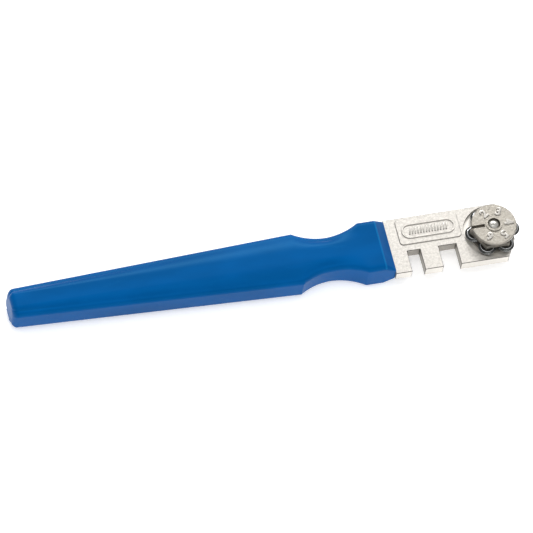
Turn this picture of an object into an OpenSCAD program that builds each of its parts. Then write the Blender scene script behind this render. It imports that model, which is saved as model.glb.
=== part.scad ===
// Six-wheel glass cutter, lying on its back.
// +X runs from the handle's tail to the wheel in use, and +Z is the side that
// carries the turret. The origin is under the middle, on the face it rests on.

/* [Overall] */
// Length from the tail to the rim of the wheel in use
overall_l = 130; // [120:1:170]

/* [Handle] */
// Thickness of the handle
handle_t = 8.4; // [7.6:0.1:11]
// Width at the tail, before its corners are rounded
tail_w = 8.1; // [7:0.1:12]
// Width at the belly, where the taper ends
belly_w = 14.4; // [12:0.1:18]
// Width at the narrowest place of the finger waist
waist_w = 9.5; // [8.4:0.1:11.5]
// Width of the collar in front of the waist
collar_w = 14.1; // [12:0.1:15.5]
// Length of the waist, from belly to collar
waist_l = 16.7; // [13:0.1:22]
// Length of the straight collar, chamfer included
collar_l = 7; // [5:0.1:10]
// Length of the chamfer that slopes down to the head
chamfer_l = 2.65; // [1.5:0.05:3.5]
// Radius of the handle's long edges
edge_r = 1.3; // [0.8:0.1:2]
// How far the top and bottom fall away from their flat middle
crown = 0.7; // [0.2:0.1:1.2]
// Width of the flat middle of the top and bottom
flat_w = 3.2; // [2:0.1:5]
// Radius of the tail's corners
tail_r = 1.5; // [0.8:0.1:2]

/* [Head] */
// Metal left at the sides of the head plate, outside the turret's seat
seat_rim = 0.35; // [0.2:0.05:1.5]
// Thickness of the head plate and its tang
head_t = 2.8; // [2.4:0.1:3.6]
// How far the wheel in use stands out past the blunt nose
wheel_exposed = 1.65; // [1:0.05:2.2]
// Width of the blunt nose
nose_w = 5.2; // [3:0.1:8]
// Distance from the pivot to where the nose starts to narrow
shoulder_l = 2.55; // [1:0.05:3.5]
// Width of the tang inside the handle
tang_w = 6; // [5:0.1:6.8]
// Length of the tang inside the handle
tang_l = 24; // [16:0.5:36]

/* [Breaking notches] */
// Width of the notch near the handle, for thin glass
thin_notch_w = 3.3; // [2.6:0.1:4]
// Width of the notch near the turret, for thick glass
thick_notch_w = 4.5; // [4.2:0.1:5.4]
// Depth of both notches
notch_d = 5.8; // [4.5:0.1:7]
// Width of the tooth between the notches
tooth_w = 4.7; // [3:0.1:5.5]
// Metal between the turret's seat and the nearer notch
notch_web = 2.45; // [1.5:0.05:3.5]

/* [Name panel] */
// Length of the raised panel
panel_l = 15.6; // [12:0.1:16]
// Height of the panel above the plate
panel_h = 0.25; // [0.15:0.05:0.4]
// Gap from the panel to the plate's long edge
panel_edge_gap = 0.7; // [0.4:0.1:1.2]
// Gap from the panel to the bottoms of the notches
panel_notch_gap = 1.8; // [1:0.1:2.5]
// Gap from the panel to the turret's seat
panel_seat_gap = 0.55; // [0.3:0.05:1.5]
// Gap from the panel to the handle
panel_handle_gap = 2.9; // [1:0.1:5]
// Gap from the ends of the panel to the long raised ring on it
ring_end_gap = 0.95; // [0.6:0.05:2]
// Gap from the sides of the panel to that ring
ring_side_gap = 1.4; // [1:0.05:1.8]
// Thickness of the raised ring's wall
ring_wall = 0.45; // [0.3:0.05:0.6]

/* [Turret] */
// Depth of the seat sunk into the head plate
seat_d = 1; // [0.7:0.05:1.2]
// Room between the wheels' rims and the seat's wall
seat_gap = 0.3; // [0.2:0.05:0.6]
// How far the cap's disc reaches past the axles
disc_rim = 0.45; // [0.3:0.05:0.8]
// Thickness of the cap's disc
disc_t = 0.84; // [0.6:0.02:1.2]
// Width of the bevel round the top of the disc
disc_bevel = 0.2; // [0.1:0.05:0.3]
// Height of the groove between the disc and the rosette
groove_h = 0.65; // [0.3:0.05:0.9]
// How far the groove is cut in from the rosette's scallops
groove_step = 0.65; // [0.3:0.05:1]
// How far the rosette's six points reach past the axles
point_rim = 0.75; // [0.4:0.05:0.9]
// How far the rosette's scallops lie inside its points
scallop_step = 1; // [0.9:0.05:1.1]
// Thickness of the rosette that holds the axles
rosette_t = 1.5; // [1.2:0.05:2.2]
// How far the turret's base plate reaches past the axles
base_rim = 0.4; // [0.3:0.05:0.8]
// Thickness of the turret's base plate
base_t = 0.4; // [0.3:0.05:0.7]
// Thickness of the raised ring round the screw's end
collet_wall = 0.5; // [0.3:0.05:0.7]
// Height of that ring above the disc
collet_h = 0.25; // [0.1:0.05:0.4]
// Width of the slot that marks wheel 1
slot_w = 0.8; // [0.6:0.1:1.2]
// Depth of the slot that marks wheel 1
slot_d = 1.1; // [0.5:0.1:1.3]
// Gap from that slot to the raised ring
slot_gap = 0.3; // [0.2:0.05:0.6]

/* [Cutting wheels] */
// Radius of one cutting wheel
wheel_r = 2.25; // [1.9:0.01:2.7]
// Room between neighbouring wheels
wheel_side_gap = 0.2; // [0.15:0.01:0.4]
// Room between the wheels and the turret's hub
hub_gap = 0.2; // [0.15:0.01:0.3]
// Thickness of one cutting wheel
wheel_t = 0.9; // [0.7:0.05:1.1]
// Width of the ground edge, measured along the radius
wheel_edge = 0.55; // [0.3:0.05:0.7]
// Radius of one axle
axle_r = 0.5; // [0.4:0.05:0.6]
// How far each axle reaches into the rosette
axle_grip = 1.2; // [0.8:0.05:1.4]

/* [Screw and washers] */
// Radius of the screw's shank
screw_r = 1.5; // [1.25:0.05:1.8]
// How far the screw's head reaches past its shank
screw_head_rim = 1.5; // [1.1:0.1:2]
// Height of the screw's head
screw_head_h = 1.4; // [1:0.1:1.5]
// Width of the driver slot in the screw's head
driver_slot_w = 0.8; // [0.6:0.1:1]
// Depth of the driver slot in the screw's head
driver_slot_d = 0.7; // [0.4:0.1:0.8]
// Height of the dome that ends the screw
screw_dome_h = 0.6; // [0.3:0.05:0.8]
// Thickness of the split lock washer
lock_washer_t = 0.6; // [0.4:0.05:0.7]
// Width of the lock washer's ring
lock_washer_w = 0.95; // [0.7:0.05:1.2]
// Width of the split in the lock washer
split_w = 0.3; // [0.2:0.05:0.6]
// Thickness of the friction washer under the turret
friction_washer_t = 0.2; // [0.1:0.05:0.3]
// Width of the friction washer's ring
friction_washer_w = 2.8; // [1.5:0.1:3.4]

/* [Fits] */
// Clearance round the tang, each side
tang_gap = 0.05; // [0.02:0.01:0.1]
// Running clearance round a shaft, on the radius
shaft_gap = 0.05; // [0.02:0.01:0.08]
// Clearance between faces that turn on each other
face_gap = 0.03; // [0.02:0.01:0.08]
// Clearance above and below each wheel
wheel_gap = 0.1; // [0.05:0.01:0.15]
// Clearance of the washers round the screw, on the radius
washer_gap = 0.15; // [0.1:0.05:0.3]
// Clearance round an axle held in the cap or base, on the radius
grip_gap = 0.01; // [0.01:0.01:0.02]

/* [Hidden] */
$fn = 96;
eps = 0.01;
wheel_count = 6;
wheel_in_use = 4;
wheel_step = 360 / wheel_count;

// The turret, from its wheels outwards and inwards
wheel_pitch_r = (wheel_r + wheel_side_gap / 2) / sin(wheel_step / 2);
reach_r = wheel_pitch_r + wheel_r;
seat_r = reach_r + seat_gap;
axle_out_r = wheel_pitch_r + axle_r;
disc_r = axle_out_r + disc_rim;
base_r = axle_out_r + base_rim;
point_r = axle_out_r + point_rim;
scallop_r = point_r - scallop_step;
groove_r = scallop_r - groove_step;
hub_r = wheel_pitch_r - wheel_r - hub_gap;
bore_r = screw_r + shaft_gap;
collet_r = bore_r + collet_wall;

// The head plate, from the pivot to the handle and across
head_w = 2 * (seat_r + seat_rim);
nose_l = reach_r - wheel_exposed;
neck_l = seat_r + panel_seat_gap + panel_l + panel_handle_gap;
panel_w = head_w - notch_d - panel_edge_gap - panel_notch_gap;
ring_l = panel_l - 2 * ring_end_gap;
ring_w = panel_w - 2 * ring_side_gap;

// Places along X
tail_x = -overall_l / 2;
pivot_x = overall_l / 2 - reach_r;
handle_end_x = pivot_x - neck_l;
collar_x = handle_end_x - collar_l;
belly_x = collar_x - waist_l;
waist_x = (belly_x + collar_x) / 2;
chamfer_x = handle_end_x - chamfer_l;
thick_notch_x = pivot_x - seat_r - notch_web - thick_notch_w;
thin_notch_x = thick_notch_x - tooth_w - thin_notch_w;
panel_x = pivot_x - seat_r - panel_seat_gap - panel_l / 2;
panel_y = head_w / 2 - panel_edge_gap - panel_w / 2;

// Heights
mid_z = handle_t / 2;
plate_z = mid_z - head_t / 2;
plate_top_z = plate_z + head_t;
seat_z = plate_top_z - seat_d;
base_z = seat_z + friction_washer_t + face_gap;
wheel_z = base_z + base_t + wheel_gap;
rosette_z = wheel_z + wheel_t + wheel_gap;
groove_z = rosette_z + rosette_t;
disc_z = groove_z + groove_h;
disc_top_z = disc_z + disc_t;
collet_top_z = disc_top_z + collet_h;
screw_seat_z = plate_z - lock_washer_t - face_gap;
axle_top_z = rosette_z + axle_grip;

// Blends
handle_end_t = head_t + 1.2;
end_edge_r = 0.4;
panel_corner_r = 0.8;

function mix(a, b, t) = a + (b - a) * t;

// Angle of wheel k about the pivot: the wheel in use points along +X.
function wheel_angle(k) = (wheel_in_use - k) * wheel_step;

// Radius of the arc that leaves the waist level and rises by h over a run of l
function rise_radius(l, h) = (l * l + h * h) / (2 * h);

// How far that arc has risen after a run of s
function rise(s, r) = r - sqrt(r * r - s * s);

// Half the handle's width at x, before the tail is rounded
function plan_half_w(x) =
    x < belly_x ? mix(tail_w, belly_w, (x - tail_x) / (belly_x - tail_x)) / 2 :
    x < waist_x ? waist_w / 2 + rise(waist_x - x,
        rise_radius(waist_x - belly_x, (belly_w - waist_w) / 2)) :
    x < collar_x ? waist_w / 2 + rise(x - waist_x,
        rise_radius(collar_x - waist_x, (collar_w - waist_w) / 2)) :
    collar_w / 2;

// Quarter-round pull-in of every face near the tail
function tail_inset(x) =
    x - tail_x >= tail_r ? 0 :
    tail_r - sqrt(tail_r * tail_r - pow(tail_r - (x - tail_x), 2));

// 0 along the handle, 1 at the end that meets the head
function chamfer_run(x) = max(0, (x - chamfer_x) / chamfer_l);

function half_w(x) = plan_half_w(x) - tail_inset(x);
function half_t(x) = mix(handle_t / 2, handle_end_t / 2, chamfer_run(x)) - tail_inset(x);

// The crown fades out along the front half of the waist, so the collar is flat.
function crown_at(x) =
    crown * (1 - min(1, max(0, (x - waist_x) / (collar_x - waist_x))));
function edge_r_at(x) = mix(edge_r, end_edge_r, min(1, chamfer_run(x)));

// One quarter of a section, from the side up to the flat middle
function quarter(a, b, drop, r, flat) = concat(
    [for (t = [0:30:90]) [a - r + r * cos(t), b - drop - r + r * sin(t)]],
    [[mix(a - r, flat, 0.5), b - drop / 4], [flat, b]]);

function reversed(list) = [for (i = [len(list) - 1:-1:0]) list[i]];

// A whole section at x, anticlockwise as seen from +X
function section(x) =
    let (q = quarter(half_w(x), half_t(x), crown_at(x), edge_r_at(x), flat_w / 2))
    concat(
        [for (p = q) [x, p[0], mid_z + p[1]]],
        [for (p = reversed(q)) [x, -p[0], mid_z + p[1]]],
        [for (p = q) [x, -p[0], mid_z - p[1]]],
        [for (p = reversed(q)) [x, p[0], mid_z - p[1]]]);

// Stations along the handle
waist_steps = 16;
taper_steps = 6;
stations = concat(
    [for (t = [0:15:75]) tail_x + tail_r * (1 - cos(t))],
    [for (i = [0:taper_steps - 1]) mix(tail_x + tail_r, belly_x, i / taper_steps)],
    [for (i = [0:waist_steps]) mix(belly_x, collar_x, i / waist_steps)],
    [chamfer_x, handle_end_x]);

// Skins a list of equal rings and closes both ends.
module loft(rings) {
    n = len(rings[0]);
    last = len(rings) - 1;
    sides = [for (i = [0:last - 1], j = [0:n - 1])
        let (a = i * n + j, b = i * n + (j + 1) % n)
        each [[a, a + n, b], [b, a + n, b + n]]];
    ends = [[for (j = [0:n - 1]) j], [for (j = [n - 1:-1:0]) last * n + j]];
    polyhedron([for (ring = rings) each ring], concat(sides, ends), convexity = 6);
}

module rounded_rect(l, w, r) {
    square([l - 2 * r, w], center = true);
    square([l, w - 2 * r], center = true);
    for (x = [-1, 1], y = [-1, 1])
        translate([x * (l / 2 - r), y * (w / 2 - r)]) circle(r);
}

module obround(l, w) {
    square([l - w, w], center = true);
    for (x = [-1, 1]) translate([x * (l - w) / 2, 0]) circle(d = w);
}

module at_pivot(z = 0) {
    translate([pivot_x, 0, z]) children();
}

module at_wheel(k, z) {
    at_pivot(z) rotate(wheel_angle(k)) translate([wheel_pitch_r, 0, 0]) children();
}

module washer(outer, inner, t) {
    difference() {
        cylinder(r = outer, h = t);
        translate([0, 0, -eps]) cylinder(r = inner, h = t + 2 * eps);
    }
}

module handle() {
    color("royalblue") difference() {
        loft([for (x = stations) section(x)]);
        translate([handle_end_x - tang_l - tang_gap,
                   -tang_w / 2 - tang_gap, plate_z - tang_gap])
            cube([tang_l + tang_gap + 1, tang_w + 2 * tang_gap, head_t + 2 * tang_gap]);
    }
}

module head_outline() {
    difference() {
        polygon([
            [handle_end_x, -head_w / 2], [pivot_x + shoulder_l, -head_w / 2],
            [pivot_x + nose_l, -nose_w / 2], [pivot_x + nose_l, nose_w / 2],
            [pivot_x + shoulder_l, head_w / 2], [handle_end_x, head_w / 2]]);
        translate([thin_notch_x, -head_w / 2 - 1]) square([thin_notch_w, notch_d + 1]);
        translate([thick_notch_x, -head_w / 2 - 1]) square([thick_notch_w, notch_d + 1]);
    }
}

module name_panel() {
    linear_extrude(panel_h + eps) rounded_rect(panel_l, panel_w, panel_corner_r);
    linear_extrude(2 * panel_h) difference() {
        obround(ring_l, ring_w);
        obround(ring_l - 2 * ring_wall, ring_w - 2 * ring_wall);
    }
}

module head() {
    color("silver") difference() {
        union() {
            translate([0, 0, plate_z]) linear_extrude(head_t) head_outline();
            translate([handle_end_x - tang_l, -tang_w / 2, plate_z])
                cube([tang_l + 1, tang_w, head_t]);
            translate([panel_x, panel_y, plate_top_z - eps]) name_panel();
        }
        at_pivot(seat_z) cylinder(r = seat_r, h = seat_d + 2 * panel_h + 1);
        at_pivot(plate_z - 1) cylinder(r = bore_r, h = head_t + 2);
    }
}

// Six points over the wheels, with a shallow scallop between each two
module rosette() {
    half_step = wheel_step / 2;
    point = [point_r * cos(half_step), point_r * sin(half_step)];
    scallop_cut_r = rise_radius(point[1], point[0] - scallop_r);
    difference() {
        cylinder(r = point_r - eps, h = rosette_t);
        for (k = [1:wheel_count])
            rotate(wheel_angle(k) + half_step)
                translate([scallop_r + scallop_cut_r, 0, -1])
                    cylinder(r = scallop_cut_r, h = rosette_t + 2);
    }
}

module turret_cap() {
    color("gainsboro") difference() {
        union() {
            at_pivot(base_z + base_t) cylinder(r = hub_r, h = disc_z - base_z - base_t);
            at_pivot(rosette_z) rosette();
            at_pivot(rosette_z) cylinder(r = groove_r, h = disc_z + disc_t / 2 - rosette_z);
            at_pivot(disc_z) cylinder(r = disc_r, h = disc_t - disc_bevel);
            at_pivot(disc_top_z - disc_bevel)
                cylinder(r1 = disc_r, r2 = disc_r - disc_bevel, h = disc_bevel);
            at_pivot(disc_z) cylinder(r = collet_r, h = collet_top_z - disc_z);
        }
        at_pivot(base_z) cylinder(r = bore_r, h = collet_top_z);
        for (k = [1:wheel_count])
            at_wheel(k, rosette_z - 1) cylinder(r = axle_r + grip_gap, h = axle_grip + 1);
        at_pivot(disc_top_z - slot_d) rotate(wheel_angle(1))
            translate([collet_r + slot_gap, -slot_w / 2, 0]) cube([disc_r, slot_w, slot_d + 1]);
    }
}

module turret_base() {
    color("darkgray") difference() {
        at_pivot(base_z) washer(base_r, bore_r, base_t);
        for (k = [1:wheel_count])
            at_wheel(k, base_z - 1) cylinder(r = axle_r + grip_gap, h = base_t + 2);
    }
}

module cutting_wheel(k) {
    bore = axle_r + shaft_gap;
    color("dimgray") at_wheel(k, wheel_z) rotate_extrude() polygon([
        [bore, 0], [wheel_r - wheel_edge, 0], [wheel_r, wheel_t / 2],
        [wheel_r - wheel_edge, wheel_t], [bore, wheel_t]]);
}

module wheel_axle(k) {
    color("slategray") at_wheel(k, base_z) cylinder(r = axle_r, h = axle_top_z - base_z);
}

// A slotted head under the plate, and a shank whose far end is domed
module pivot_screw() {
    shank_l = collet_top_z - screw_seat_z;
    head_r = screw_r + screw_head_rim;
    dome_r = rise_radius(screw_r, screw_dome_h);
    color("lightgray") at_pivot(screw_seat_z) {
        cylinder(r = screw_r, h = shank_l - screw_dome_h);
        intersection() {
            translate([0, 0, shank_l - dome_r]) sphere(dome_r);
            translate([0, 0, shank_l - screw_dome_h - eps]) cylinder(r = screw_r, h = 1);
        }
        translate([0, 0, -screw_head_h]) difference() {
            cylinder(r = head_r, h = screw_head_h);
            translate([-head_r - 1, -driver_slot_w / 2, -1])
                cube([2 * head_r + 2, driver_slot_w, driver_slot_d + 1]);
        }
    }
}

module lock_washer() {
    inner = screw_r + washer_gap;
    outer = inner + lock_washer_w;
    color("gray") at_pivot(plate_z - lock_washer_t) difference() {
        washer(outer, inner, lock_washer_t);
        translate([0, -split_w / 2, -1]) cube([outer + 1, split_w, lock_washer_t + 2]);
    }
}

module friction_washer() {
    inner = screw_r + washer_gap;
    color("goldenrod") at_pivot(seat_z)
        washer(inner + friction_washer_w, inner, friction_washer_t);
}

handle();
head();
turret_cap();
turret_base();
for (k = [1:wheel_count]) {
    cutting_wheel(k);
    wheel_axle(k);
}
pivot_screw();
lock_washer();
friction_washer();
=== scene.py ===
"""The finished look of a six-wheel glass cutter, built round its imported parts."""
import math

import bmesh
import bpy
from mathutils import Matrix, Vector


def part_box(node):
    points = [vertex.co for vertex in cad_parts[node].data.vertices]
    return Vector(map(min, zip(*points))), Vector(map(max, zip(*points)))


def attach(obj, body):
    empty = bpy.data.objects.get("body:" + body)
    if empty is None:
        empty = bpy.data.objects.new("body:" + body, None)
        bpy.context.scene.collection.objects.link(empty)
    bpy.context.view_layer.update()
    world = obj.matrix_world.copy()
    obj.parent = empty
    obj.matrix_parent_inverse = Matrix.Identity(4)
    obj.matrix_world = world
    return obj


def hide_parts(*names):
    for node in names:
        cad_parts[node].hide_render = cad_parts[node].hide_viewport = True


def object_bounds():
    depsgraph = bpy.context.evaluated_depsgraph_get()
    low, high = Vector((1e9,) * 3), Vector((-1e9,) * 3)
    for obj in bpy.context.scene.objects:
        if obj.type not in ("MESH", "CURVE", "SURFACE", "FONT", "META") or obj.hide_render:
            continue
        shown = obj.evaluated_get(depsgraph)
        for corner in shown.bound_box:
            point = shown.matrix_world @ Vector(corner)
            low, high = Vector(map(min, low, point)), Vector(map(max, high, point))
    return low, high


bl_info = {
    "name": "Glass cutter finish",
    "version": (1, 0, 0),
    "blender": (4, 5, 0),
    "location": "3D View > Sidebar > Cutter",
    "description": "Builds the moulded handle, the cast head and the wheel turret of a glass cutter",
    "category": "Add Mesh",
}

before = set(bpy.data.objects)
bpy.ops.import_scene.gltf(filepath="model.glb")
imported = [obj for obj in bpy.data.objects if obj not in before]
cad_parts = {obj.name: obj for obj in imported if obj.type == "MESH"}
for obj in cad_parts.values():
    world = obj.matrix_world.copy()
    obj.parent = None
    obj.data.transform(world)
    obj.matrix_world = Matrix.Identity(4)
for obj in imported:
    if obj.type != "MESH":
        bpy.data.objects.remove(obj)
CAD_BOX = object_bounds()
HANDLE_LOW, HANDLE_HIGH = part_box("handle")
SCREW_LOW, SCREW_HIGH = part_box("pivot_screw")
CAP_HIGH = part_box("turret_cap")[1]
HEAD_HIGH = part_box("head")[1]

MM = 0.001
PIVOT = Vector(((SCREW_LOW.x + SCREW_HIGH.x) / 2, 0, 0))
HANDLE_MID_Z = (HANDLE_LOW.z + HANDLE_HIGH.z) / 2
WHEELS = range(1, 7)
WHEEL_STEP = math.radians(60)
# Rounded edges: wear on plastic and screw, painted shade on the nickel, painted highlight on the wheels
EDGE_WEAR_AND_SHADING = "edge_wear"
WALL_LIGHT_AND_SHADE = "wall_shade"

# Heights on the casting, and the turret's round seat in it
PANEL_RISE = 0.25 * MM
PLATE_TOP = HEAD_HIGH.z - 2 * PANEL_RISE
PANEL_TOP = HEAD_HIGH.z - PANEL_RISE
PANEL_MIDDLE = (42.45 * MM, 3.45 * MM)
DISC_TOP = CAP_HIGH.z - 0.25 * MM
SEAT_RADIUS = 7.24 * MM
SEAT_HEIGHT = 4.3 * MM

# The row of ribs on the panel
RIB_COUNT = 14
RIB_PITCH = 0.72 * MM
RIB_SLANT = math.radians(-14)

# Digits stand 0.70 of their font size tall
DIGIT_HEIGHT = 0.70

# The camera's aim, its right side and the direction back from the cutter
CAMERA_TARGET = Vector((0.72, 0.79, 4.02)) * MM
CAMERA_RIGHT = Vector((0.9655, -0.2340, 0.1160))
CAMERA_BACK = Vector((-0.2137, -0.4528, 0.8653)).normalized()

# Each softbox: its setting, its width and height, and its place, in metres
SOFTBOXES = (
    ("back_light", (0.50, 0.12), (0.08, 0.41, 0.37)),
    ("top_light", (0.60, 0.16), (0.0, 0.02, 0.60)),
    ("front_light", (0.60, 0.05), (0.08, -0.50, 0.26)),
)


def length(name, description, millimetres, low=0.0, high=200.0):
    """A size that a user may change, kept in metres."""
    return bpy.props.FloatProperty(
        name=name, description=description, default=millimetres * MM,
        min=low * MM, max=high * MM, unit="LENGTH", subtype="DISTANCE")


def colour(name, description, value):
    """A linear colour that a user may change."""
    return bpy.props.FloatVectorProperty(
        name=name, description=description, default=value, size=3,
        min=0.0, max=1.0, subtype="COLOR")


def number(name, description, value, low, high):
    """A plain number that a user may change."""
    return bpy.props.FloatProperty(
        name=name, description=description, default=value, min=low, max=high)


class HandleSizes(bpy.types.PropertyGroup):
    """Sizes of the moulded handle."""
    tail_width: length("Tail width", "Width at the tail, before its corners are rounded", 8.1)
    waist_width: length("Waist width", "Width at the narrowest place of the finger waist", 9.5)
    collar_width: length("Collar width", "Width of the collar in front of the waist", 14.1)
    waist_length: length("Waist length", "Length of the waist, from belly to collar", 16.7)
    collar_length: length("Collar length", "Length of the collar with its chamfer", 7.0)
    chamfer_length: length("Chamfer length", "Length of the slope down to the head", 2.65)
    end_thickness: length("End thickness", "Thickness of the end that meets the head", 4.0)
    edge_radius: length("Edge radius", "Radius of the long edges", 1.3)
    crown: length("Crown", "How far the top falls away from its flat middle", 0.7)
    flat_width: length("Flat width", "Width of the flat middle of the top", 3.2)
    tail_radius: length("Tail radius", "Radius of the tail's corners", 1.5)
    tang_width: length("Socket width", "Width of the socket for the tang", 6.1)
    tang_thickness: length("Socket height", "Height of the socket for the tang", 2.9)
    tang_length: length("Socket length", "Depth of the socket for the tang", 24.05)


class MetalSizes(bpy.types.PropertyGroup):
    """Sizes of the small details on the metal pieces."""
    cast_edge: length("Cast edge", "Width of the rounding along the casting's edges", 0.09)
    outline_edge: length("Outline edge", "Width of the rounding along the plate's outline", 0.25)
    cap_edge: length("Cap edge", "Width of the rounding along the edges of cap and ribs", 0.07)
    small_edge: length("Small edge", "Width of the rounding on wheels, washers and screw", 0.05)
    axle_edge: length("Axle edge", "Width of the rounding on the axles' ends", 0.12)
    numeral_height: length("Numeral height", "Height of the numerals on the cap", 2.1)
    numeral_relief: length("Numeral relief", "How far the numerals stand up", 0.22)
    numeral_circle: length("Numeral circle", "Radius of the circle that the numerals stand on", 3.75)
    rib_width: length("Rib width", "Width of one rib on the panel", 0.34)
    rib_length: length("Rib length", "Length of one rib on the panel", 2.0)
    rib_height: length("Rib height", "Height of the ribs on the panel", 0.2)
    wheel_edge: length("Wheel edge", "Width of a wheel's ground edge", 0.55)
    wheel_bore: length("Wheel bore", "Radius of a wheel's bore", 0.55)


class FinishColours(bpy.types.PropertyGroup):
    """Colours of the finishes."""
    plastic: colour("Handle plastic", "Blue of the moulded handle", (0.0003, 0.065, 0.230))
    nickel: colour("Nickel", "Plating on the casting", (0.57, 0.545, 0.505))
    cap_nickel: colour("Cap nickel", "Warmer plating on the turret", (0.49, 0.457, 0.400))
    # The pits' dark colour, also used for the painted shade on the notch walls
    nickel_pit: colour("Nickel pits", "Plating deep in the casting's grain", (0.20, 0.18, 0.15))
    wheel_steel: colour("Wheel steel", "Hardened steel of the wheels", (0.062, 0.064, 0.062))
    pin_steel: colour("Pin steel", "Plated steel of screw and axles", (0.46, 0.45, 0.42))
    washer_steel: colour("Washer steel", "Oiled spring steel", (0.30, 0.29, 0.28))
    floor: colour("Floor", "Pale floor of the stage", (0.93, 0.93, 0.93))


class StageSettings(bpy.types.PropertyGroup):
    """Camera and lights."""
    lens: number("Lens", "Focal length of the camera in millimetres", 1300.0, 50.0, 2000.0)
    view_width: length("View width", "Width of the view at the middle of the cutter", 131.3)
    world_light: number("World light", "Strength of the even light all round", 0.72, 0.0, 5.0)
    back_light: number("Back light", "Power of the softbox behind the cutter, in watts", 2.6, 0.0, 200.0)
    top_light: number("Top light", "Power of the softbox overhead, in watts", 0.5, 0.0, 200.0)
    front_light: number("Front light", "Power of the softbox in front, in watts", 1.1, 0.0, 200.0)


SETTINGS = {
    "cutter_handle": HandleSizes,
    "cutter_metal": MetalSizes,
    "cutter_colours": FinishColours,
    "cutter_stage": StageSettings,
}


# ---- Materials ----

class Value:
    """A shader socket that takes part in plain arithmetic."""

    def __init__(self, finish, socket):
        self.finish = finish
        self.socket = socket

    def maths(self, operation, *values):
        return self.finish.node("ShaderNodeMath", {"operation": operation}, dict(enumerate(values)))

    def __add__(self, other):
        return self.maths("ADD", self, other)

    __radd__ = __add__

    def __sub__(self, other):
        return self.maths("SUBTRACT", self, other)

    def __rsub__(self, other):
        return self.maths("SUBTRACT", other, self)

    def __mul__(self, other):
        return self.maths("MULTIPLY", self, other)

    __rmul__ = __mul__

    def above(self, level):
        """The value where it is above the level, and the level elsewhere."""
        return self.maths("MAXIMUM", self, level)

    def step(self, low, high):
        """0 below low and 1 above high, with a smooth change between."""
        return self.finish.node(
            "ShaderNodeMapRange", {"interpolation_type": "SMOOTHSTEP"},
            {"Value": self, "From Min": low, "From Max": high})


class Finish:
    """One material, whose nodes are added one by one."""

    def __init__(self, name, **constants):
        self.material = bpy.data.materials.new(name)
        self.material.use_nodes = True
        self.tree = self.material.node_tree
        self.tree.nodes.clear()
        output = self.tree.nodes.new("ShaderNodeOutputMaterial")
        self.shader = self.tree.nodes.new("ShaderNodeBsdfPrincipled")
        self.tree.links.new(self.shader.outputs["BSDF"], output.inputs["Surface"])
        for socket, value in constants.items():
            self.feed(self.shader.inputs[socket.replace("_", " ")], value)
        self.place = self.node("ShaderNodeTexCoord", output="Object")

    def feed(self, socket, value):
        """Links a value to a socket, or sets a plain number or colour on it."""
        if isinstance(value, Value):
            self.tree.links.new(value.socket, socket)
        elif socket.type == "RGBA":
            socket.default_value = (*value, 1.0)
        else:
            socket.default_value = value

    def node(self, kind, settings=None, inputs=None, output=0):
        """Adds a node, with its settings first and then its sockets' values or links."""
        made = self.tree.nodes.new(kind)
        for name, value in (settings or {}).items():
            setattr(made, name, value)
        for name, value in (inputs or {}).items():
            self.feed(made.inputs[name], value)
        return Value(self, made.outputs[output])

    def noise(self, size, detail=2.0, roughness=0.5, place=None):
        """Soft noise from 0 to 1 whose lumps are about this many metres wide."""
        return self.node(
            "ShaderNodeTexNoise", {"noise_dimensions": "3D"},
            {"Vector": place or self.place, "Scale": 1 / size,
             "Detail": detail, "Roughness": roughness})

    def cells(self, size):
        """Distance to the middle of cells about this many metres wide."""
        return self.node(
            "ShaderNodeTexVoronoi", {"feature": "F1"},
            {"Vector": self.place, "Scale": 1 / size}, "Distance")

    def stretched(self, scale, turn=(0.0, 0.0, 0.0)):
        """The place, scaled and turned, for a pattern that runs one way."""
        return self.node(
            "ShaderNodeMapping", {"vector_type": "POINT"},
            {"Vector": self.place, "Scale": scale, "Rotation": turn})

    def axis(self, letter):
        return self.node("ShaderNodeSeparateXYZ", {}, {0: self.place}, letter)

    def vector(self, operation, output, *values):
        return self.node(
            "ShaderNodeVectorMath", {"operation": operation}, dict(enumerate(values)), output)

    def distance_from_pivot(self):
        """Distance from the pivot's axis."""
        offset = self.vector("SUBTRACT", "Vector", self.place, PIVOT)
        flat = self.vector("MULTIPLY", "Vector", offset, (1.0, 1.0, 0.0))
        return self.vector("LENGTH", "Value", flat)

    def attribute(self, name):
        """A value that the piece's own faces carry."""
        return self.node("ShaderNodeAttribute", {"attribute_name": name}, output="Fac")

    def mix(self, share, first, second):
        """A colour between the first and the second."""
        return self.node(
            "ShaderNodeMix", {"data_type": "RGBA"}, {0: share, 6: first, 7: second}, 2)

    def bump(self, height, distance, strength=1.0):
        return self.node(
            "ShaderNodeBump", {},
            {"Height": height, "Distance": distance, "Strength": strength}, "Normal")

    def set(self, **sockets):
        """Feeds the shader's sockets, and returns the finished material."""
        for name, value in sockets.items():
            self.feed(self.shader.inputs[name.replace("_", " ")], value)
        return self.material


def tinted(shade, factor):
    """A colour made lighter or darker."""
    return tuple(min(1.0, part * factor) for part in shade)


def blue_plastic(colours):
    """Moulded plastic with a fine matt skin, faint flow marks and handling wear."""
    finish = Finish("blue_plastic", IOR=1.22,
                    Specular_Tint=(0.05, 0.70, 1.0))
    skin = finish.noise(0.35 * MM, 3.0, 0.6)
    flow = finish.noise(9 * MM, 3.0, 0.55, finish.stretched((0.35, 1.0, 1.0)))
    scuffs = finish.noise(1.3 * MM, 5.0, 0.7, finish.stretched((0.18, 1.0, 1.0), (0.0, 0.0, 0.35)))
    scuffed = scuffs.step(0.60, 0.72)
    wear_and_edge_shading = finish.attribute(EDGE_WEAR_AND_SHADING)
    deep = tinted(colours.plastic, 0.90)
    light = tinted(colours.plastic, 1.12)
    base = finish.mix(flow.step(0.32, 0.68), deep, light)
    rubbed = finish.mix(wear_and_edge_shading * 0.30 + scuffed * 0.06, base, (0.012, 0.20, 0.45))
    return finish.set(
        Base_Color=rubbed,
        Roughness=0.31 + skin * 0.07 + scuffed * 0.10 - wear_and_edge_shading * 0.05,
        Normal=finish.bump(skin + scuffed * 0.5, 0.006 * MM, 0.6))


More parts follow.
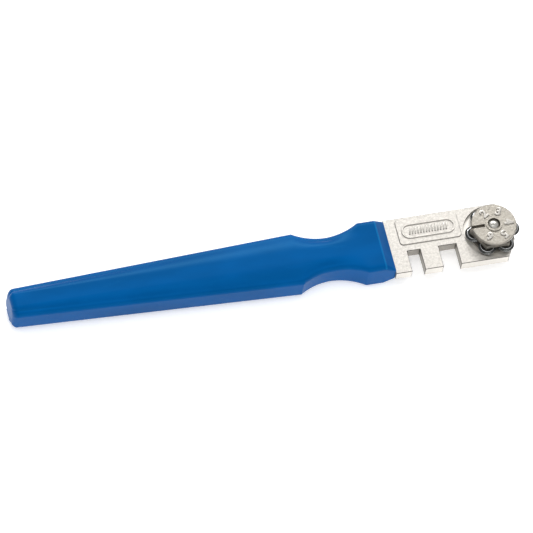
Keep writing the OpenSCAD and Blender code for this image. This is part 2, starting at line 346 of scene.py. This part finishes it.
def cast_nickel(colours, name, plating, edge, grain, shade, metal, seat_share):
    """Nickel plate over a die casting: fine lumps, pits, cloudy gloss, and painted shade and light.

    Edge is how light the rounded edges are painted, below 1 a painted shade that darkens them; shade
    is how light the rest is, grain how coarse the casting is, metal how metallic it is, and seat share
    whether it has the turret's smooth seat, whose colour is also lifted as a painted highlight.
    """
    finish = Finish(name, Metallic=metal)
    lumps = finish.noise(0.62 * MM, 4.0, 0.65)
    fine = finish.noise(0.20 * MM, 3.0, 0.65)
    cloud = finish.noise(3.2 * MM, 3.0, 0.5)
    pits = 1 - finish.cells(0.55 * MM).step(0.04, 0.26)
    pitted = pits * finish.noise(1.6 * MM, 1.0).step(0.46, 0.60)
    wear_and_edge_shading = finish.attribute(EDGE_WEAR_AND_SHADING)
    pale = tinted(plating, shade)
    dull = tinted(plating, 0.80 * shade)
    base = finish.mix(lumps.step(0.36, 0.62), dull, pale)
    specked = finish.mix(fine.step(0.50, 0.68) * 0.50 * grain, base, colours.nickel_pit)
    # Painted shade on the notch walls and painted light on the outer sides, read from the wall layer
    wall = finish.attribute(WALL_LIGHT_AND_SHADE)
    shaded = finish.mix((0 - wall).above(0.0) * 0.55, specked, colours.nickel_pit)
    lit = finish.mix(wall.above(0.0) * 0.8, shaded, tinted(plating, 1.30))
    darkened = finish.mix(pitted * 0.45 * grain, lit, colours.nickel_pit)
    # Painted shade: the rounded edges are darkened towards the edge tint
    edged = finish.mix(wear_and_edge_shading * 0.95, darkened, tinted(plating, edge))
    radius = finish.distance_from_pivot()
    inside = 1 - radius.step(SEAT_RADIUS - 0.02 * MM, SEAT_RADIUS + 0.02 * MM)
    above = finish.axis("Z").step(SEAT_HEIGHT - 0.1 * MM, SEAT_HEIGHT + 0.1 * MM)
    seat = inside * above * seat_share
    # Smooth seat with less grain and lower roughness, and a colour lifted 1.45 times as a painted
    # highlight
    smooth_seat_with_highlight = finish.mix(seat, edged, tinted(plating, 1.45))
    return finish.set(
        Base_Color=smooth_seat_with_highlight,
        Roughness=0.25 + cloud * 0.14 + fine * 0.12 - wear_and_edge_shading * 0.08 - seat * 0.06,
        Normal=finish.bump((lumps * 0.6 + fine * 0.3 - pitted * 0.5) * (1 - seat * 0.85),
                           0.10 * MM, 0.9 * grain))


def ground_steel(colours):
    """Hardened wheel steel with fine rings from grinding, a very dark colour, and a painted highlight on
    its rounded edges.
    """
    finish = Finish("ground_steel", Metallic=1.0)
    streaks = finish.noise(0.9 * MM, 4.0, 0.7, finish.stretched((1.0, 1.0, 9.0)))
    fine = finish.noise(0.12 * MM, 2.0, 0.6)
    wear_and_edge_shading = finish.attribute(EDGE_WEAR_AND_SHADING)
    base = finish.mix(streaks.step(0.3, 0.7), tinted(colours.wheel_steel, 0.7), colours.wheel_steel)
    # Painted highlight: the rounded edges are lightened to a bright steel colour
    edged = finish.mix(wear_and_edge_shading * 0.85, base, (0.75, 0.76, 0.78))
    return finish.set(
        Base_Color=edged,
        Roughness=0.20 + streaks * 0.12 + fine * 0.05,
        Normal=finish.bump(fine, 0.01 * MM, 0.5))


def turned_steel(colours, name, shade, roughness):
    """Turned and plated steel: faint turning lines and small stains."""
    finish = Finish(name, Metallic=1.0)
    lines = finish.noise(0.5 * MM, 3.0, 0.6, finish.stretched((1.0, 1.0, 12.0)))
    stains = finish.noise(0.7 * MM, 4.0, 0.65)
    wear_and_edge_shading = finish.attribute(EDGE_WEAR_AND_SHADING)
    base = finish.mix(stains.step(0.46, 0.60) * 0.75, shade, tinted(shade, 0.30))
    edged = finish.mix(wear_and_edge_shading * 0.5, base, tinted(shade, 1.3))
    return finish.set(
        Base_Color=edged,
        Roughness=roughness + lines * 0.10 + stains * 0.10,
        Normal=finish.bump(lines * 0.5 + stains, 0.02 * MM, 0.6))


FINISHES = {}


def make_finishes(colours):
    """Makes each finish once, for all the pieces that share it."""
    FINISHES["blue_plastic"] = blue_plastic(colours)
    FINISHES["head_nickel"] = cast_nickel(
        colours, "head_nickel", colours.nickel, 0.07, 0.7, 0.93, 0.6, 1.0)
    FINISHES["cap_nickel"] = cast_nickel(
        colours, "cap_nickel", colours.cap_nickel, 0.22, 1.25, 0.66, 0.8, 0.0)
    FINISHES["numeral_nickel"] = cast_nickel(
        colours, "numeral_nickel", colours.nickel, 0.30, 0.5, 0.74, 0.8, 0.0)
    FINISHES["wheel_steel"] = ground_steel(colours)
    FINISHES["plated_steel"] = turned_steel(colours, "plated_steel", colours.pin_steel, 0.22)
    FINISHES["spring_steel"] = turned_steel(colours, "spring_steel", colours.washer_steel, 0.34)


# ---- Shaping ----

def add_piece(context, bm, name, finish, body, stands_for=(), smooth_angle=35.0):
    """Turns a finished bmesh into a piece that rides on its body."""
    bmesh.ops.remove_doubles(bm, verts=bm.verts[:], dist=0.0002 * MM)
    bmesh.ops.dissolve_degenerate(bm, dist=0.0002 * MM, edges=bm.edges[:])
    bmesh.ops.recalc_face_normals(bm, faces=bm.faces[:])
    mesh = bpy.data.meshes.new(name)
    bm.to_mesh(mesh)
    bm.free()
    mesh.shade_smooth()
    mesh.set_sharp_from_angle(angle=math.radians(smooth_angle))
    mesh.materials.append(FINISHES[finish])
    piece = bpy.data.objects.new(name, mesh)
    context.collection.objects.link(piece)
    even = piece.modifiers.new("flat faces stay flat", "WEIGHTED_NORMAL")
    even.keep_sharp = True
    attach(piece, body)
    if stands_for:
        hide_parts(*stands_for)
    return piece


def wear_layer(bm):
    """The layer that says how much wear, painted edge shade or painted edge highlight each face gets."""
    return bm.faces.layers.float.get(EDGE_WEAR_AND_SHADING) or bm.faces.layers.float.new(EDGE_WEAR_AND_SHADING)


def round_edges(bm, width, segments=2, least_angle=28.0, wear_and_edge_shading=1.0, wanted=lambda edge: True):
    """Rounds every wanted edge sharper than the least angle, and marks the new faces for wear and
    painted edge shading.
    """
    layer = wear_layer(bm)
    sharp = [e for e in bm.edges
             if len(e.link_faces) == 2 and e.calc_face_angle(0.0) > math.radians(least_angle)
             and wanted(e)]
    made = bmesh.ops.bevel(
        bm, geom=sharp, offset=width, offset_type="OFFSET", affect="EDGES",
        segments=segments, profile=0.5, material=-1, clamp_overlap=True)
    for face in made["faces"]:
        face[layer] = wear_and_edge_shading
    return bm


def cad_shape(node):
    """A merged copy of a CAD node with its flat faces in one piece."""
    bm = bmesh.new()
    bm.from_mesh(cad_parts[node].data)
    bmesh.ops.remove_doubles(bm, verts=bm.verts[:], dist=0.0005 * MM)
    bmesh.ops.dissolve_limit(
        bm, angle_limit=math.radians(0.6), verts=bm.verts[:], edges=bm.edges[:])
    wear_layer(bm)
    return bm


def rise(run, half_length, height):
    """Rise of an arc that leaves a level line, after a run of a half length and height."""
    radius = (half_length ** 2 + height ** 2) / (2 * height)
    return radius - math.sqrt(radius ** 2 - run ** 2)


class HandleShape:
    """Width, thickness and rounding of the handle at any place along it."""

    def __init__(self, sizes):
        self.sizes = sizes
        self.tail = HANDLE_LOW.x
        self.end = HANDLE_HIGH.x
        self.belly_width = HANDLE_HIGH.y - HANDLE_LOW.y
        self.thickness = HANDLE_HIGH.z - HANDLE_LOW.z
        self.chamfer = self.end - sizes.chamfer_length
        self.collar = self.end - sizes.collar_length
        self.belly = self.collar - sizes.waist_length
        self.waist = (self.belly + self.collar) / 2

    def plan_half_width(self, x):
        """Half the handle's width at x, before the tail's corners are rounded."""
        s = self.sizes
        half_run = s.waist_length / 2
        if x < self.belly:
            share = (x - self.tail) / (self.belly - self.tail)
            return (s.tail_width + (self.belly_width - s.tail_width) * share) / 2
        if x < self.waist:
            height = (self.belly_width - s.waist_width) / 2
            return s.waist_width / 2 + rise(self.waist - x, half_run, height)
        if x < self.collar:
            height = (s.collar_width - s.waist_width) / 2
            return s.waist_width / 2 + rise(x - self.waist, half_run, height)
        return s.collar_width / 2

    def tail_inset(self, x):
        """How far the tail's rounding pulls the section in at x."""
        radius = self.sizes.tail_radius
        left = radius - (x - self.tail)
        if left <= 0:
            return 0.0
        return radius - math.sqrt(max(0.0, radius ** 2 - left ** 2))

    def ring(self, x, steps):
        """One section at x as (y, z) points round the middle, from the +Y side upwards."""
        s = self.sizes
        chamfered = max(0.0, (x - self.chamfer) / s.chamfer_length)
        inset = self.tail_inset(x)
        half_width = self.plan_half_width(x) - inset
        level = self.thickness + (s.end_thickness - self.thickness) * chamfered
        half_height = level / 2 - inset
        past_waist = (x - self.waist) / (self.collar - self.waist)
        drop = s.crown * (1 - min(1.0, max(0.0, past_waist)))
        radius = s.edge_radius + (0.4 * MM - s.edge_radius) * min(1.0, chamfered)
        flat = s.flat_width / 2
        quarter = []
        for i in range(steps + 1):
            turn = math.pi / 2 * i / steps
            quarter.append((half_width - radius + radius * math.cos(turn),
                            half_height - drop - radius + radius * math.sin(turn)))
        inner = half_width - radius
        for i in range(1, steps + 1):
            share = i / steps
            y = inner + (flat - inner) * share
            quarter.append((y, half_height - drop * (1 - share) ** 2))
        quarter.append((flat / 2, half_height))
        top = quarter + [(0.0, half_height)] + [(-y, z) for y, z in reversed(quarter)]
        return top + [(-y, -z) for y, z in top]

    def stations(self):
        """The places along the handle that get a section, closer where it curves."""
        s = self.sizes
        tail = [self.tail + s.tail_radius * (1 - math.cos(math.radians(t))) for t in range(0, 90, 9)]
        start = self.tail + s.tail_radius
        taper = [start + (self.belly - start) * i / 30 for i in range(30)]
        waist = [self.belly + s.waist_length * i / 40 for i in range(41)]
        collar = [self.collar + (self.chamfer - self.collar) * i / 4 for i in range(1, 5)]
        slope = [self.chamfer + s.chamfer_length * i / 3 for i in range(1, 4)]
        return tail + taper + waist + collar + slope


class CUTTER_OT_handle(bpy.types.Operator):
    """Build the moulded handle, with its socket for the tang"""
    bl_idname = "cutter.handle"
    bl_label = "Handle"

    def execute(self, context):
        sizes = context.scene.cutter_handle
        shape = HandleShape(sizes)
        steps = 7
        stations = shape.stations()
        ring = shape.ring(stations[0], steps)
        bm = bmesh.new()
        wear_layer(bm)
        verts = bmesh.ops.create_circle(
            bm, cap_ends=True, segments=len(ring), radius=shape.thickness)["verts"]
        self.set_ring(verts, ring, stations[0])
        edges = bm.edges[:]
        for x in stations[1:]:
            verts, edges = self.next_ring(bm, verts, edges)
            self.set_ring(verts, shape.ring(x, steps), x)
        hole_y, hole_z = sizes.tang_width / 2, sizes.tang_thickness / 2
        verts, edges = self.next_ring(bm, verts, edges)
        self.set_ring(verts, self.squared(shape.ring(shape.end, steps), hole_y, hole_z), shape.end)
        verts, edges = self.next_ring(bm, verts, edges)
        for vert in verts:
            vert.co.x = shape.end - sizes.tang_length
        bmesh.ops.contextual_create(bm, geom=edges)
        self.soften_corners(bm, shape)
        add_piece(context, bm, "handle_moulding", "blue_plastic", "root",
                  ["handle"], 32.0)
        return {"FINISHED"}

    @staticmethod
    def set_ring(verts, ring, x):
        """Moves a ring of vertices to its section at x."""
        for vert, (y, z) in zip(verts, ring):
            vert.co = (x, y, HANDLE_MID_Z + z)

    @staticmethod
    def next_ring(bm, verts, edges):
        """Extrudes the last ring, and returns the new ring in the same order."""
        before = set(bm.verts)
        places = [vert.co.copy() for vert in verts]
        made = bmesh.ops.extrude_edge_only(bm, edges=edges)["geom"]
        new_edges = [g for g in made if isinstance(g, bmesh.types.BMEdge)]
        new_verts = [g for g in made if isinstance(g, bmesh.types.BMVert) and g not in before]
        found = {tuple(vert.co): vert for vert in new_verts}
        return [found[tuple(place)] for place in places], new_edges

    @staticmethod
    def squared(ring, hole_y, hole_z):
        """The ring's points moved in to the outline of a rectangle."""
        moved = []
        for y, z in ring:
            scale = min(hole_y / max(abs(y), 1e-9), hole_z / max(abs(z), 1e-9))
            moved.append([y * scale, z * scale])
        for side_y in (-hole_y, hole_y):
            for side_z in (-hole_z, hole_z):
                nearest = min(moved, key=lambda p: math.hypot(p[0] - side_y, p[1] - side_z))
                nearest[0], nearest[1] = side_y, side_z
        return moved

    @staticmethod
    def soften_corners(bm, shape):
        """Rounds the two rings of edges where the chamfer begins and ends."""
        past_socket_y, past_socket_z = 3.3 * MM, 1.8 * MM
        least_angle = math.radians(12)
        for x, width in ((shape.end, 0.12 * MM), (shape.chamfer, 0.25 * MM)):
            ring = [e for e in bm.edges
                    if all(abs(v.co.x - x) < 1e-7 for v in e.verts)
                    and e.calc_face_angle(0.0) > least_angle
                    and (max(abs(v.co.y) for v in e.verts) > past_socket_y
                         or max(abs(v.co.z - HANDLE_MID_Z) for v in e.verts) > past_socket_z)]
            made = bmesh.ops.bevel(
                bm, geom=ring, offset=width, offset_type="OFFSET", affect="EDGES",
                segments=3, profile=0.5, material=-1, clamp_overlap=True)
            for face in made["faces"]:
                face[wear_layer(bm)] = 1.0


class CUTTER_OT_head(bpy.types.Operator):
    """Round the casting's edges, and add the row of ribs on its panel"""
    bl_idname = "cutter.head"
    bl_label = "Head"

    def execute(self, context):
        sizes = context.scene.cutter_metal
        bm = cad_shape("head")
        self.shade_walls(bm)
        # The bevels made here carry painted shade in the head's finish, less of it on the raised edges
        round_edges(bm, sizes.outline_edge, 3, wanted=self.outline)
        round_edges(bm, sizes.cast_edge, 2, wear_and_edge_shading=0.45, wanted=self.raised)
        add_piece(context, bm, "head_casting", "head_nickel", "root", ["head"])
        self.add_ribs(context, sizes)
        return {"FINISHED"}

    @staticmethod
    def outline(edge):
        """True for an edge of the plate's own outline, clear of the tang and the seat."""
        slack = 0.01 * MM
        past_handle = max(v.co.x for v in edge.verts) > HANDLE_HIGH.x + 0.1 * MM
        return past_handle and all(
            v.co.z < PLATE_TOP + slack and v.co.x > HANDLE_HIGH.x - slack
            and math.hypot(v.co.x - PIVOT.x, v.co.y) > HEAD_HIGH.y
            for v in edge.verts)

    @classmethod
    def raised(cls, edge):
        """True for an edge of the panel, its ring or the seat's rim."""
        return all(v.co.z > PLATE_TOP - 0.01 * MM for v in edge.verts) and not cls.outline(edge)

    @staticmethod
    def shade_walls(bm):
        """Marks the notches' sheared walls for painted shade, and the ground outer sides for painted
        light.
        """
        layer = bm.faces.layers.float.new(WALL_LIGHT_AND_SHADE)
        for face in bm.faces:
            middle = face.calc_center_median()
            upright = abs(face.normal.z) < 0.3
            if not upright or middle.z > PLATE_TOP or middle.x < HANDLE_HIGH.x:
                continue
            if math.hypot(middle.x - PIVOT.x, middle.y) < SEAT_RADIUS + 0.06 * MM:
                continue
            outer = abs(abs(middle.y) - HEAD_HIGH.y) < 0.05 * MM or middle.x > PIVOT.x
            face[layer] = 1.0 if outer else -1.0

    @staticmethod
    def add_ribs(context, sizes):
        """Adds the row of slanted ribs inside the panel's ring."""
        middle = Vector((*PANEL_MIDDLE, PANEL_TOP))
        slant = Matrix.Rotation(RIB_SLANT, 4, "Z")
        bm = bmesh.new()
        wear_layer(bm)
        for i in range(RIB_COUNT):
            offset = (i - (RIB_COUNT - 1) / 2) * RIB_PITCH
            size = Matrix.Diagonal((sizes.rib_width, sizes.rib_length, 2 * sizes.rib_height, 1))
            place = Matrix.Translation(middle + Vector((offset, 0, 0)))
            bmesh.ops.create_cube(bm, size=1.0, matrix=place @ slant @ size)
        round_edges(bm, sizes.cap_edge, 2)
        add_piece(context, bm, "panel_ribs", "head_nickel", "root")


class CUTTER_OT_turret(bpy.types.Operator):
    """Build the turret's cap with its numerals, and its base plate"""
    bl_idname = "cutter.turret"
    bl_label = "Turret"

    def execute(self, context):
        sizes = context.scene.cutter_metal
        bm = round_edges(cad_shape("turret_cap"), sizes.cap_edge)
        add_piece(context, bm, "turret_cap_casting", "cap_nickel", "turret",
                  ["turret_cap"])
        bm = round_edges(cad_shape("turret_base"), sizes.small_edge)
        add_piece(context, bm, "turret_base_plate", "cap_nickel", "turret",
                  ["turret_base"])
        self.add_numerals(context, sizes)
        return {"FINISHED"}

    def add_numerals(self, context, sizes):
        """Adds the numerals 2 to 6. The groove stands in the place of a 1."""
        bm = bmesh.new()
        wear_layer(bm)
        for k in WHEELS[1:]:
            angle = (4 - k) * WHEEL_STEP
            outward = Vector((math.cos(angle), math.sin(angle), 0))
            place = (Matrix.Translation(PIVOT + outward * sizes.numeral_circle
                                        + Vector((0, 0, DISC_TOP)))
                     @ Matrix.Rotation(angle - math.pi / 2, 4, "Z"))
            self.add_numeral(context, bm, str(k), sizes, place)
        add_piece(context, bm, "cap_numerals", "numeral_nickel", "turret",
                  smooth_angle=50.0)

    @staticmethod
    def add_numeral(context, bm, digit, sizes, place):
        """Adds one raised digit, centred on its place with its top outwards."""
        curve = bpy.data.curves.new("digit", "FONT")
        curve.body = digit
        curve.size = sizes.numeral_height / DIGIT_HEIGHT
        curve.resolution_u = 5
        curve.offset = 0.09 * MM
        curve.bevel_depth = 0.07 * MM
        curve.bevel_resolution = 2
        curve.extrude = sizes.numeral_relief - curve.bevel_depth
        holder = bpy.data.objects.new("digit", curve)
        context.collection.objects.link(holder)
        context.view_layer.update()
        graph = context.evaluated_depsgraph_get()
        mesh = bpy.data.meshes.new_from_object(holder.evaluated_get(graph))
        xs = [v.co.x for v in mesh.vertices]
        ys = [v.co.y for v in mesh.vertices]
        centre = Matrix.Translation((-(min(xs) + max(xs)) / 2, -(min(ys) + max(ys)) / 2, 0))
        mesh.transform(place @ centre)
        bm.from_mesh(mesh)
        bpy.data.objects.remove(holder)
        bpy.data.meshes.remove(mesh)


def spun(profile, centre, steps=96):
    """A ring spun about +Z from a closed profile of (radius, height) points."""
    bm = bmesh.new()
    verts = [bm.verts.new((centre.x + r, centre.y, z)) for r, z in profile]
    edges = [bm.edges.new(pair) for pair in zip(verts, verts[1:] + verts[:1])]
    bmesh.ops.spin(bm, geom=verts + edges, cent=(centre.x, centre.y, 0), axis=(0, 0, 1),
                   angle=2 * math.pi, steps=steps, use_merge=True, use_duplicate=False)
    bmesh.ops.remove_doubles(bm, verts=bm.verts[:], dist=0.0005 * MM)
    wear_layer(bm)
    return bm


class CUTTER_OT_wheels(bpy.types.Operator):
    """Build the six cutting wheels with their ground edges, and their axles"""
    bl_idname = "cutter.wheels"
    bl_label = "Wheels"

    def execute(self, context):
        sizes = context.scene.cutter_metal
        for k in WHEELS:
            self.add_wheel(context, sizes, k)
            self.add_axle(context, sizes, k)
        return {"FINISHED"}

    @staticmethod
    def add_wheel(context, sizes, k):
        """Adds one wheel, spun from its section."""
        low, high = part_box(f"cutting_wheel_{k}")
        centre = (low + high) / 2
        radius = (high.x - low.x) / 2
        face = radius - sizes.wheel_edge
        bore = sizes.wheel_bore
        bm = spun([(bore, low.z), (face, low.z), (radius, centre.z),
                   (face, high.z), (bore, high.z)], centre)
        round_edges(bm, sizes.small_edge, 2, 20.0)
        add_piece(context, bm, f"wheel_{k}", "wheel_steel", f"wheel_{k}",
                  [f"cutting_wheel_{k}"], 40.0)

    @staticmethod
    def add_axle(context, sizes, k):
        """Adds one axle with well rounded ends."""
        low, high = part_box(f"wheel_axle_{k}")
        centre = (low + high) / 2
        radius = (high.x - low.x) / 2
        bm = bmesh.new()
        bmesh.ops.create_cone(bm, cap_ends=True, segments=48, radius1=radius, radius2=radius,
                              depth=high.z - low.z, matrix=Matrix.Translation(centre))
        round_edges(bm, sizes.axle_edge, 3)
        add_piece(context, bm, f"axle_{k}", "plated_steel", "turret",
                  [f"wheel_axle_{k}"])


class CUTTER_OT_screw(bpy.types.Operator):
    """Finish the pivot screw and its two washers"""
    bl_idname = "cutter.screw"
    bl_label = "Screw and washers"

    def execute(self, context):
        sizes = context.scene.cutter_metal
        for node, name, body, slot in (
                ("pivot_screw", "pivot_screw_turned", "screw", "plated_steel"),
                ("lock_washer", "lock_washer_split", "root", "spring_steel"),
                ("friction_washer", "friction_washer_ring", "root", "spring_steel")):
            bm = round_edges(cad_shape(node), sizes.small_edge)
            add_piece(context, bm, name, slot, body, [node])
        return {"FINISHED"}


# ---- Stage ----

class CUTTER_OT_stage(bpy.types.Operator):
    """Set up the pale floor, the soft lights and the camera"""
    bl_idname = "cutter.stage"
    bl_label = "Stage"

    def execute(self, context):
        settings = context.scene.cutter_stage
        self.add_floor(context)
        self.add_world(context, settings)
        self.add_camera(context, settings)
        for name, size, place in SOFTBOXES:
            self.add_light(context, name, getattr(settings, name), size, Vector(place))
        context.scene.view_settings.view_transform = "Standard"
        return {"FINISHED"}

    @staticmethod
    def add_floor(context):
        """Adds the pale floor, which gives off a little light so that shadows stay soft."""
        finish = Finish("pale_floor", Roughness=0.85, Specular_IOR_Level=0.2,
                        Emission_Color=(1.0, 1.0, 1.0), Emission_Strength=0.35)
        shade = context.scene.cutter_colours.floor
        mottle = finish.noise(0.05, 2.0)
        finish.set(Base_Color=finish.mix(mottle, shade, tinted(shade, 1.01)))
        bm = bmesh.new()
        bmesh.ops.create_grid(bm, x_segments=1, y_segments=1, size=6.0,
                              matrix=Matrix.Translation((0, 0, CAD_BOX[0].z - 0.02 * MM)))
        mesh = bpy.data.meshes.new("floor")
        bm.to_mesh(mesh)
        bm.free()
        mesh.materials.append(finish.material)
        floor = bpy.data.objects.new("floor", mesh)
        context.collection.objects.link(floor)

    @staticmethod
    def add_world(context, settings):
        """Adds the even white light all round."""
        world = bpy.data.worlds.new("studio")
        world.use_nodes = True
        background = world.node_tree.nodes["Background"]
        background.inputs["Color"].default_value = (1.0, 1.0, 1.0, 1.0)
        background.inputs["Strength"].default_value = settings.world_light
        context.scene.world = world

    @staticmethod
    def add_camera(context, settings):
        """Adds the camera, far back with a long lens."""
        data = bpy.data.cameras.new("camera")
        data.lens = settings.lens
        data.sensor_width = 36.0
        data.dof.use_dof = False
        distance = settings.view_width * data.lens / data.sensor_width
        up = CAMERA_BACK.cross(CAMERA_RIGHT).normalized()
        right = up.cross(CAMERA_BACK)
        place = Matrix((right, up, CAMERA_BACK)).transposed().to_4x4()
        place.translation = CAMERA_TARGET + CAMERA_BACK * distance
        data.clip_start, data.clip_end = 0.01, 20.0
        camera = bpy.data.objects.new("camera", data)
        camera.matrix_world = place
        context.collection.objects.link(camera)
        context.scene.camera = camera

    @staticmethod
    def add_light(context, name, power, size, place):
        """Adds one softbox that faces the cutter."""
        data = bpy.data.lights.new(name, "AREA")
        data.shape = "RECTANGLE"
        data.size, data.size_y = size
        data.energy = power
        light = bpy.data.objects.new(name, data)
        light.location = place
        light.rotation_euler = (-place).to_track_quat("-Z", "Y").to_euler()
        context.collection.objects.link(light)


# ---- Sidebar and registration ----

OPERATORS = (CUTTER_OT_stage, CUTTER_OT_handle, CUTTER_OT_head, CUTTER_OT_turret,
             CUTTER_OT_wheels, CUTTER_OT_screw)


class CUTTER_PT_panel(bpy.types.Panel):
    """Lists the cutter's pieces and settings"""
    bl_idname = "CUTTER_PT_panel"
    bl_label = "Glass cutter"
    bl_space_type = "VIEW_3D"
    bl_region_type = "UI"
    bl_category = "Cutter"

    def draw(self, context):
        for operator in OPERATORS:
            self.layout.operator(operator.bl_idname)
        for name, group in SETTINGS.items():
            box = self.layout.box()
            for field in group.__annotations__:
                box.prop(getattr(context.scene, name), field)


def register():
    for cls in (*SETTINGS.values(), *OPERATORS, CUTTER_PT_panel):
        bpy.utils.register_class(cls)
    for name, group in SETTINGS.items():
        setattr(bpy.types.Scene, name, bpy.props.PointerProperty(type=group))


def unregister():
    for name in SETTINGS:
        delattr(bpy.types.Scene, name)
    for cls in reversed((*SETTINGS.values(), *OPERATORS, CUTTER_PT_panel)):
        bpy.utils.unregister_class(cls)


def main():
    """Builds everything."""
    register()
    make_finishes(bpy.context.scene.cutter_colours)
    for operator in OPERATORS:
        group, name = operator.bl_idname.split(".")
        getattr(getattr(bpy.ops, group), name)()


if __name__ == "__main__":
    main()
